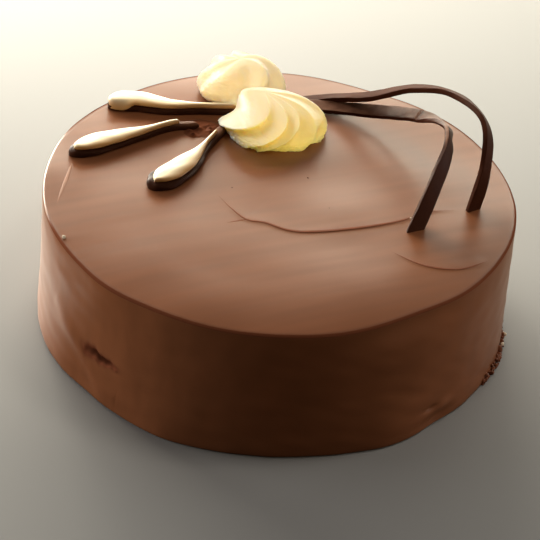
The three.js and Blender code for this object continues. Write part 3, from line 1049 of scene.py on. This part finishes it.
def swirl_tree(name, form, radius, height, settings, material):
    """A dome whose crests turn as they climb, with a hollow channel after each; reads a table of crests."""
    inputs = {
        "Radius": radius,
        "Height": height,
        "Centre": (*form["centre"], TOP - SUNK),
        "Lean": (*form["lean"], 0.0),
        "Channels": len(form["crests"]),
        "Per channel": settings.per_channel,
        "Rows": settings.rows,
        "Ragged": settings.ragged,
        "Material": material,
    }
    inputs |= {key.replace("_", " ").capitalize(): form[key] for key in FORM_VALUES}
    shape = Shape(name, inputs)
    given = shape.input
    sheet, u, v = shape.sheet(given("Channels") * given("Per channel") + 1.0, given("Rows"))
    number = (u * given("Channels")).math("FLOOR")
    share = (u * given("Channels")).math("FRACT")

    def crest_value(label, step=0.0):
        sockets = {"Geometry": given("Geometry"), "Value": shape.held(label), "Index": number + step}
        return shape.add("GeometryNodeSampleIndex", {"data_type": "FLOAT", "clamp": True}, sockets)

    def between(label):
        first = crest_value(label)
        return first + (crest_value(label, 1.0) - first) * share

    # Shares of the way up: the closed underside, the foot that is tucked in and the shallower channels there
    under, tucked, shallow = 0.06, 0.20, 0.30
    t = ((v - under) / (1.0 - under)).clamped()
    reach = (v / under).clamped()
    climb = t * (math.pi / 2)
    foot = 1.0 - given("Tuck") * (1.0 - t / tucked).math("MAXIMUM", 0.0) ** 2.0
    dome = given("Radius") * climb.math("COSINE").math("MAXIMUM", 0.0) ** given("Doming") * foot
    angle = between("angle") + between("turn") * (1.0 - (1.0 - t) ** given("Turn power"))
    grown = given("Foot depth") + (1.0 - given("Foot depth")) * (t / shallow).clamped()
    fading = shape.eased(t, crest_value("fade"), crest_value("end"), 1.0, 0.0)
    depth = crest_value("depth") * grown * fading
    across = share ** crest_value("skew")
    crest = 1.0 - (across * math.pi).math("SINE").math("MAXIMUM", 0.0) ** crest_value("hollow")
    turned = [angle.math("COSINE"), angle.math("SINE")]
    seat = shape.add("ShaderNodeCombineXYZ", None, {0: turned[0], 1: turned[1], 2: t * 1.5})
    rough, fine = (
        shape.add(
            "ShaderNodeTexNoise",
            {"noise_dimensions": "4D"},
            {"Vector": seat, "W": given("Seed") + shift, "Scale": scale, "Detail": 2.0},
        )
        for shift, scale in ((0.0, 4.0), (4.0, 20.0))
    )
    low = shape.eased(t, 0.04, 0.22, 1.0, 0.0)
    uneven = given("Ragged") * ((rough - 0.5) * 2.0 + (fine - 0.5) * (0.4 + crest * 0.9 + low * 2.2))
    r = (dome * (1.0 - depth * (1.0 - crest)) + uneven * climb.math("COSINE")) * reach
    lift = CREST_LIFT * (crest - 0.5) * (t * math.pi).math("SINE")
    z = given("Height") * climb.math("SINE").math("MAXIMUM", 0.0) ** given("Rise")
    z = z + lift + SUNK * reach * (1.0 - t)
    behind = turned[1].math("GREATER_THAN", 0.0)
    squash = given("Squash") + (given("Back squash") - given("Squash")) * behind
    bend = shape.scaled(given("Lean"), t * t)
    offset = shape.add("ShaderNodeCombineXYZ", None, {0: r * turned[0], 1: r * turned[1] * squash, 2: z})
    shape.wrap(sheet, shape.vector("ADD", shape.vector("ADD", given("Centre"), bend), offset))
    return shape


def crest_table(name, form):
    """A piece whose points hold the values of a swirl's crests, the first one again at the end."""
    first = form["crests"][0]
    crests = np.array([*form["crests"], (first[0] + 360, *first[1:])])
    crests[:, :2] = np.radians(crests[:, :2])
    piece = new_piece(name, [(k, 0, 0) for k in range(len(crests))])
    for label, values in zip(CREST_VALUES, crests.T):
        set_values(piece, label, values)
    return piece


class CAKE_OT_cream(bpy.types.Operator):
    """Pipe the two cream swirls"""

    bl_idname = "cake.cream"
    bl_label = "Piped cream"

    def execute(self, context):
        settings = context.scene.cake.cream
        material = cream_finish(settings)
        front = settings.front_radius, settings.front_height
        back = settings.back_radius, settings.back_height
        for name, node, form, (radius, height), own in (
            ("piped_swirl_front", "cream_swirl_front", FRONT_SWIRL, front, FRONT_CREAM),
            ("piped_swirl_back", "cream_swirl_back", BACK_SWIRL, back, BACK_CREAM),
        ):
            piece = crest_table(name, form)
            swirl_tree(name, form, radius, height, settings, material).settle(piece)
            for group in (CREAM_GROUP, own, NOT_CREAM):
                bpy.data.collections[group].objects.link(piece)
            bpy.data.collections[NOT_CREAM].collection_objects[-1].light_linking.link_state = "EXCLUDE"
            finish_piece(piece, "cream", node)
        return {"FINISHED"}


# Bent strips


def ribbon_tree(name, sizes, material):
    """A ribbon along a path, tilted by the path's own tilt, with an uneven cut, a crack or tapered ends."""
    usual = {"Crack": 0.0, "Crack share": -1.0, "Uneven": 1.0, "Taper": 0.0}
    shape = Shape(name, {**usual, **sizes, "Material": material})
    given = shape.input
    sheet, u, v = shape.sheet(given("Stations") + 3.0, given("Sides") + 1.0)
    cap = 1.0 / (given("Stations") + 2.0)
    share = ((u - cap) / (1.0 - 2.0 * cap)).clamped()
    full = (u.math("MINIMUM", 1.0 - u) / cap).clamped()
    slim = (share * math.pi).math("SINE").math("MAXIMUM", 0.0)
    full = full * (1.0 + given("Taper") * (slim - 1.0))
    path = shape.add("GeometryNodeMeshToCurve", None, {0: given("Geometry")})
    sample = shape.add(
        "GeometryNodeSampleCurve",
        {"mode": "FACTOR", "use_all_curves": True, "data_type": "FLOAT"},
        {"Curves": path, "Value": shape.held("tilt"), "Factor": share},
    )
    outputs = sample.socket.node.outputs
    centre, along = Sock(shape, outputs["Position"]), Sock(shape, outputs["Tangent"])
    flat = shape.vector("NORMALIZE", shape.vector("CROSS_PRODUCT", (0, 0, 1), along))
    across = shape.add(
        "ShaderNodeVectorRotate",
        {"rotation_type": "AXIS_ANGLE"},
        {"Vector": flat, "Axis": along, "Angle": sample},
    )
    out = shape.vector("CROSS_PRODUCT", along, across)
    angle = v * (-2 * math.pi)
    around = [angle.math(wave) for wave in ("COSINE", "SINE")]
    sockets = {0: share * 9.0, 1: around[0] * 0.6, 2: around[1] * 0.6}
    seat = shape.add("ShaderNodeCombineXYZ", None, sockets)
    cut = shape.add("ShaderNodeTexNoise", None, {"Vector": seat, "Scale": 2.2, "Detail": 3.0})
    swing = []
    for turn, size in zip(around, (given("Width"), given("Thickness"))):
        swing.append(size * 0.5 * turn.math("SIGN") * turn.math("ABSOLUTE") ** given("Squareness"))
    wide = swing[0] * (1.0 + (cut - 0.5) * 0.16 * given("Uneven"))
    thick = swing[1] * (1.0 + (cut - 0.5) * 0.30 * given("Uneven"))
    gap = (share - given("Crack share")) * STRIP_LENGTH + wide * CRACK_SLANT
    crack = given("Crack") * (-((gap / CRACK_WIDTH) ** 2.0)).math("EXPONENT")
    crack = crack * around[1].math("GREATER_THAN", 0.2)
    place = shape.vector("ADD", centre, shape.scaled(across, wide * full))
    shape.wrap(sheet, shape.vector("ADD", place, shape.scaled(out, (thick - crack) * full)))
    return shape


class CAKE_OT_strips(bpy.types.Operator):
    """Bend the two chocolate strips"""

    bl_idname = "cake.strips"
    bl_label = "Bent strips"

    def execute(self, context):
        settings = context.scene.cake.strips
        colour = settings.colour
        dust_and_sheen = settings.dust_and_sheen
        dusty_and_sheened = chocolate_finish("dusty_strip", colour, roughness=0.52, gloss=0.0, level=0.05, dust_and_sheen=dust_and_sheen)
        plain = chocolate_finish("plain_strip", colour, roughness=0.60, gloss=0.0, level=0.015)
        sizes = {
            "Squareness": settings.squareness,
            "Stations": settings.stations,
            "Sides": settings.sides,
            "Crack": settings.crack,
        }
        for node, route in STRIP_ROUTES.items():
            places, shares = smooth_route([(x, y, TOP + z) for x, y, z, _ in route], 200)
            tilts = np.radians([tilt for *_, tilt in route])
            before = np.minimum(shares.astype(int), len(route) - 2)
            blend = smooth_step(shares - before, 0, 1)
            tilt = tilts[before] * (1 - blend) + tilts[before + 1] * blend
            piece = path_piece("bent_" + node, places, tilt)
            near = node == "strip_front"
            sizes["Width"] = settings.width if near else settings.back_width
            sizes["Thickness"] = settings.thickness if near else settings.back_thickness
            sizes["Crack share"] = CRACK_SHARE[node]
            ribbon_tree(node, sizes, dusty_and_sheened if near else plain).settle(piece)
            finish_piece(piece, "strip_chocolate", node)
        return {"FINISHED"}


# Petals


def petal_half_width(petal, share):
    """Half a petal's width at a share of its length: a round head and then a long taper."""
    start = HEAD_SHARE * 0.8
    t = np.clip((share - start) / (TAPER_SHARE - start), 0, 1)
    taper = t**3 * (t * (t * 6 - 15) + 10)
    width = petal["half_width"] * (1 - taper) + petal["tail_half_width"] * taper
    return round_end(share / HEAD_SHARE) * width


def petal_rings(petal, settings, head_inset, inset, share, low, high, squareness, seed):
    """Rings of a slab along a petal's path between two heights, the share along it and the place across."""
    route, _ = smooth_route(petal["path"], 400)
    length = np.linalg.norm(np.diff(route, axis=0), axis=1).sum()
    first = head_inset / length
    step = (1 - np.cos(math.pi * np.arange(1, settings.stations) / settings.stations)) / 2
    s = first + (share - first) * step
    index = s * (len(route) - 1)
    centre = np.stack([np.interp(index, np.arange(len(route)), column) for column in route.T], 1)
    along = np.gradient(centre, axis=0)
    along /= np.linalg.norm(along, axis=1)[:, None]
    across = np.stack([-along[:, 1], along[:, 0]], 1)
    grown = petal_half_width(petal, np.clip((s - first) / (share - first) * share, 0, 1)) - inset(s)
    half = np.maximum(grown * round_end((share - s) / (0.1 * share)), 0.0002)
    end_gap = np.minimum(s - first, share - s) * length
    rounded = round_end(end_gap / ((high - low) * 0.8))
    turn = 2 * math.pi * np.arange(settings.sides) / settings.sides
    w, up = (np.sign(wave) * np.abs(wave) ** squareness for wave in (np.cos(turn), np.sin(turn)))
    wide = half[:, None] * w[None, :]
    rise = np.repeat(up[None, :], len(s), 0)
    seat = np.stack([np.repeat(s[:, None] * 6, len(turn), 1), wide * 250, rise * 0.5], 2).reshape(-1, 3)
    bump = soft_noise(seat, 1.1, seed).reshape(wide.shape)
    wide = wide * (1 + 0.035 * bump)
    lift = (0.5 + 0.5 * rise * (1 + 0.05 * bump * (rise > 0))) * (0.35 + 0.65 * rounded[:, None])
    places = centre[:, None, :] + wide[:, :, None] * across[:, None, :]
    return np.concatenate([places, (low + (high - low) * lift)[:, :, None]], 2), s, w


def petal_piece(name, rings, icing, material, label, values, end_values):
    """A piece through a petal's rings, lifted onto the swell of the cake's top."""
    lift = front_swell(rings[:, :, :2].reshape(-1, 2), icing)
    rings[:, :, 2] += lift.reshape(rings.shape[:2])
    ends = rings[0].mean(0), rings[-1].mean(0)
    return lofted_piece(name, rings, ends, material, label, values, end_values)


class CAKE_OT_petals(bpy.types.Operator):
    """Make the three petals, each a dark base with an ivory face, and the smear between their tails"""

    bl_idname = "cake.petals"
    bl_label = "Two-tone petals"

    def execute(self, context):
        settings = context.scene.cake.petals
        icing = context.scene.cake.icing
        dark = chocolate_finish("dark_chocolate", settings.dark, roughness=0.42, gloss=0.02, level=0.05)
        ivory = ivory_finish(settings)
        for name, petal in PETALS.items():
            high = TOP + settings.thickness
            rings, s, w = petal_rings(
                petal, settings, head_inset=0, inset=lambda s: 0 * s, share=1, low=TOP - SUNK, high=high,
                squareness=BASE_SQUARENESS, seed=petal["seed"],
            )
            bare = smooth_step(s, petal["face_share"] - 0.08, petal["face_share"] + 0.04)[:, None]
            tail = bare * smooth_step(rings[:, :, 2], TOP + 0.5 * settings.thickness, high)
            base = petal_piece(name + "_dark", rings, icing, dark, "tail", tail, (0, 1))
            finish_piece(base, "dark_chocolate", name + "_base")
            run = RUN_WIDTH if petal["drip"] else 0.0
            rings, s, w = petal_rings(
                petal, settings, head_inset=petal["head_inset"],
                inset=lambda s: petal["inset"] - run * smooth_step(0.22 - s, 0, 0.10),
                share=petal["face_share"], low=high - FACE_SEAT, high=high + settings.face,
                squareness=FACE_SQUARENESS, seed=petal["seed"] + 20,
            )
            near = np.clip(-w, 0, 1)[None, :] ** 2 * smooth_step(0.2 - s, 0, 0.12)[:, None]
            rings[:, :, 2] -= petal["drip"] * near
            # Painted shade mask: 0 over the back half of the face, rising to 1 at its front edge.
            front = np.repeat(smooth_step(-w, 0.0, 0.95)[None, :], len(s), 0)
            face = petal_piece(name + "_ivory", rings, icing, ivory, "front", front, (0.5, 0.5))
            finish_piece(face, "ivory_chocolate", name + "_face")
        self.smear(icing)
        return {"FINISHED"}

    def smear(self, icing):
        """Spreads the soft smear, a low uneven mound, between the tails."""
        rings, columns = 34, 96
        turn = np.linspace(0, 2 * math.pi, columns, endpoint=False)
        share = 1 - (np.arange(rings) / rings) ** 1.2
        spread = 1 + 0.10 * np.sin(3 * turn + 1) + 0.07 * np.sin(5 * turn)
        share = share[:, None]
        x = SMEAR_CENTRE[0] + SMEAR_REACH[0] * share * (spread * np.cos(turn))[None, :]
        y = SMEAR_CENTRE[1] + SMEAR_REACH[1] * share * (spread * np.sin(turn))[None, :]
        places = np.stack([x.ravel(), y.ravel()], 1)
        height = SMEAR_RISE * (1 - share**4) + 0 * x
        height += SMEAR_GRAIN * soft_noise(places, 0.003, seed=33).reshape(x.shape) * (1 - share**2)
        mark = 0.40 * (1 - share**6) + 0 * x
        # A dent's darkness is painted shade in the dent.
        for bx, by, wide, rise, darkness in SMEAR_BUMPS:
            near = np.exp(-((x - bx) ** 2 + (y - by) ** 2) / wide**2)
            height += rise * near
            mark = np.maximum(mark, darkness * near**0.5)
        height = np.maximum(height, 0.0) - 0.0002 * (share > 0.99)
        top = np.stack([x, y, TOP - 0.0001 + height], 2)
        ends = (*SMEAR_CENTRE, TOP - 0.0006), top[-1].mean(0)
        piece = lofted_piece("soft_smear", top, ends, icing_finish(icing), "mark", mark)
        finish_piece(piece, "icing")


# Crumbs


def crumb_tree(name, material):
    """A rough lump on every point of a piece, as large as the point's own size."""
    shape = Shape(name, {"Seed": TURN_SEED, "Rough": CRUMB_ROUGHNESS, "Material": material})
    given = shape.input
    size = shape.held("size")
    spots = shape.add("GeometryNodeMeshToPoints", None, {"Mesh": given("Geometry")})
    lump = shape.add("GeometryNodeMeshIcoSphere", None, {"Radius": 1.0, "Subdivisions": 2})

    def drawn(low, high, shift):
        sockets = {"Min": low, "Max": high, "Seed": given("Seed") + shift}
        return shape.add("FunctionNodeRandomValue", {"data_type": "FLOAT_VECTOR"}, sockets)

    turn = drawn((0, 0, 0), (6.28, 6.28, 6.28), 0.0)
    grow = drawn((0.7, 0.7, 0.6), (1.3, 1.2, 1.0), 1.0)
    sockets = {"Points": spots, "Instance": lump, "Rotation": turn, "Scale": shape.scaled(grow, size)}
    made = shape.add("GeometryNodeInstanceOnPoints", None, sockets)
    made = shape.add("GeometryNodeRealizeInstances", None, {0: made})
    rough = shape.add("ShaderNodeTexNoise", None, {"Scale": 1500.0, "Detail": 2.0})
    push = shape.scaled(shape.add("GeometryNodeInputNormal"), (rough - 0.5) * given("Rough") * size)
    shape.end(shape.add("GeometryNodeSetPosition", None, {"Geometry": made, "Offset": push}))
    return shape


class CAKE_OT_crumbs(bpy.types.Operator):
    """Scatter the crumbs at the foot and the few on the top"""

    bl_idname = "cake.crumbs"
    bl_label = "Crumbs"

    def execute(self, context):
        settings = context.scene.cake.crumbs
        draw = np.random.default_rng(settings.seed)
        share = draw.uniform(0, 1, settings.count)
        angle = settings.first + (settings.last - settings.first) * share
        size = settings.size * np.clip(draw.lognormal(0, 0.45, settings.count), 0.5, 2.6)
        reach = CRUMB_REACH[0] + CRUMB_REACH[1] * np.sin(math.pi * np.clip(share, 0.05, 0.95)) ** 0.8
        out = draw.uniform(0, 1, settings.count) ** 1.3 * reach
        pile = np.clip(1 - out / PILE_REACH, 0, 1) * PILE_HEIGHT * np.sin(math.pi * share) ** 0.5
        level = size * 0.9 + pile * draw.uniform(0, 1, settings.count) ** 1.5
        far = RADIUS - CRUMB_TUCK + out
        places = np.column_stack([far * np.cos(angle), far * np.sin(angle), level])
        self.scatter("dark_crumbs", places, size, settings.dark)
        for name, lone, colour in (
            ("pale_crumbs", np.array(PALE_CRUMBS_AND_GLINT), settings.pale),
            ("brown_specks", np.array(BROWN_SPECKS), settings.brown),
        ):
            lone[:, 2] += top_relief(lone[:, :2], context.scene.cake.icing) * (lone[:, 2] > TOP / 2)
            self.scatter(name, lone[:, :3], lone[:, 3], colour)
        return {"FINISHED"}

    def scatter(self, name, places, sizes, colour):
        piece = new_piece(name, places.tolist())
        set_values(piece, "size", sizes)
        crumb_tree(name, crumb_finish(name, colour)).settle(piece)
        finish_piece(piece, "icing")


# Stage


def add_light(name, power):
    """Adds a light of the list."""
    place, aim, width, height, colour, lit, gives = LIGHTS[name]
    light = bpy.data.lights.new(name, "AREA")
    light.shape = "RECTANGLE"
    light.size = width
    light.size_y = height
    light.energy = power
    light.color = colour
    lamp = bpy.data.objects.new(name, light)
    lamp.location = place
    lamp.rotation_euler = (Vector(aim) - Vector(place)).to_track_quat("-Z", "Y").to_euler()
    lamp.visible_camera = False
    lamp.visible_glossy = gives != "soft"
    lamp.visible_diffuse = gives != "gloss"
    bpy.context.scene.collection.objects.link(lamp)
    if lit:
        lamp.light_linking.receiver_collection = bpy.data.collections[lit]


def add_camera(scene):
    data = bpy.data.cameras.new("camera")
    data.sensor_width = CAMERA_SENSOR
    data.lens = CAMERA_LENS
    camera = bpy.data.objects.new("camera", data)
    camera.location = CAMERA_PLACE
    camera.rotation_mode = "QUATERNION"
    turn = (CAMERA_AIM - CAMERA_PLACE).to_track_quat("-Z", "Y")
    camera.rotation_quaternion = turn @ Quaternion((0, 0, 1), CAMERA_ROLL)
    scene.collection.objects.link(camera)
    scene.camera = camera


class CAKE_OT_stage(bpy.types.Operator):
    """Set the floor, lights and camera"""

    bl_idname = "cake.stage"
    bl_label = "Stage"

    def execute(self, context):
        scene = context.scene
        settings = scene.cake.stage
        sides = ((-1, -1), (1, -1), (1, 1), (-1, 1))
        corners = [(x * FLOOR_REACH, y * FLOOR_REACH, FLOOR_LEVEL) for x, y in sides]
        floor = new_piece("floor", corners, (), [(0, 1, 2, 3)], floor_finish(settings))
        for name in (CREAM_GROUP, NOT_CREAM, FRONT_CREAM, BACK_CREAM):
            bpy.data.collections.new(name)
        for name in LIGHTS:
            add_light(name, getattr(settings, name))
        world = bpy.data.worlds.new("soft_room")
        world.use_nodes = True
        background = world.node_tree.nodes["Background"]
        background.inputs["Color"].default_value = ROOM_COLOUR
        background.inputs["Strength"].default_value = settings.sky
        scene.world = world
        scene.view_settings.view_transform = "Standard"
        add_camera(scene)
        return {"FINISHED"}


class CAKE_PT_sidebar(bpy.types.Panel):
    """Lists the steps of the cake"""

    bl_label = "Chocolate cake"
    bl_space_type = "VIEW_3D"
    bl_region_type = "UI"
    bl_category = "Cake"

    def draw(self, context):
        for step in STEPS:
            self.layout.operator(step.bl_idname)


STEPS = (
    CAKE_OT_stage,
    CAKE_OT_iced_cake,
    CAKE_OT_cream,
    CAKE_OT_strips,
    CAKE_OT_petals,
    CAKE_OT_crumbs,
)
CLASSES = (
    IcingSettings,
    CreamSettings,
    StripSettings,
    PetalSettings,
    CrumbSettings,
    StageSettings,
    CakeSettings,
    *STEPS,
    CAKE_PT_sidebar,
)


def register():
    for cls in CLASSES:
        bpy.utils.register_class(cls)
    bpy.types.Scene.cake = PointerProperty(type=CakeSettings)


def unregister():
    del bpy.types.Scene.cake
    for cls in reversed(CLASSES):
        bpy.utils.unregister_class(cls)


def main():
    register()
    bpy.ops.cake.stage()
    bpy.ops.cake.iced_cake()
    bpy.ops.cake.cream()
    bpy.ops.cake.strips()
    bpy.ops.cake.petals()
    bpy.ops.cake.crumbs()


if __name__ == "__main__":
    main()
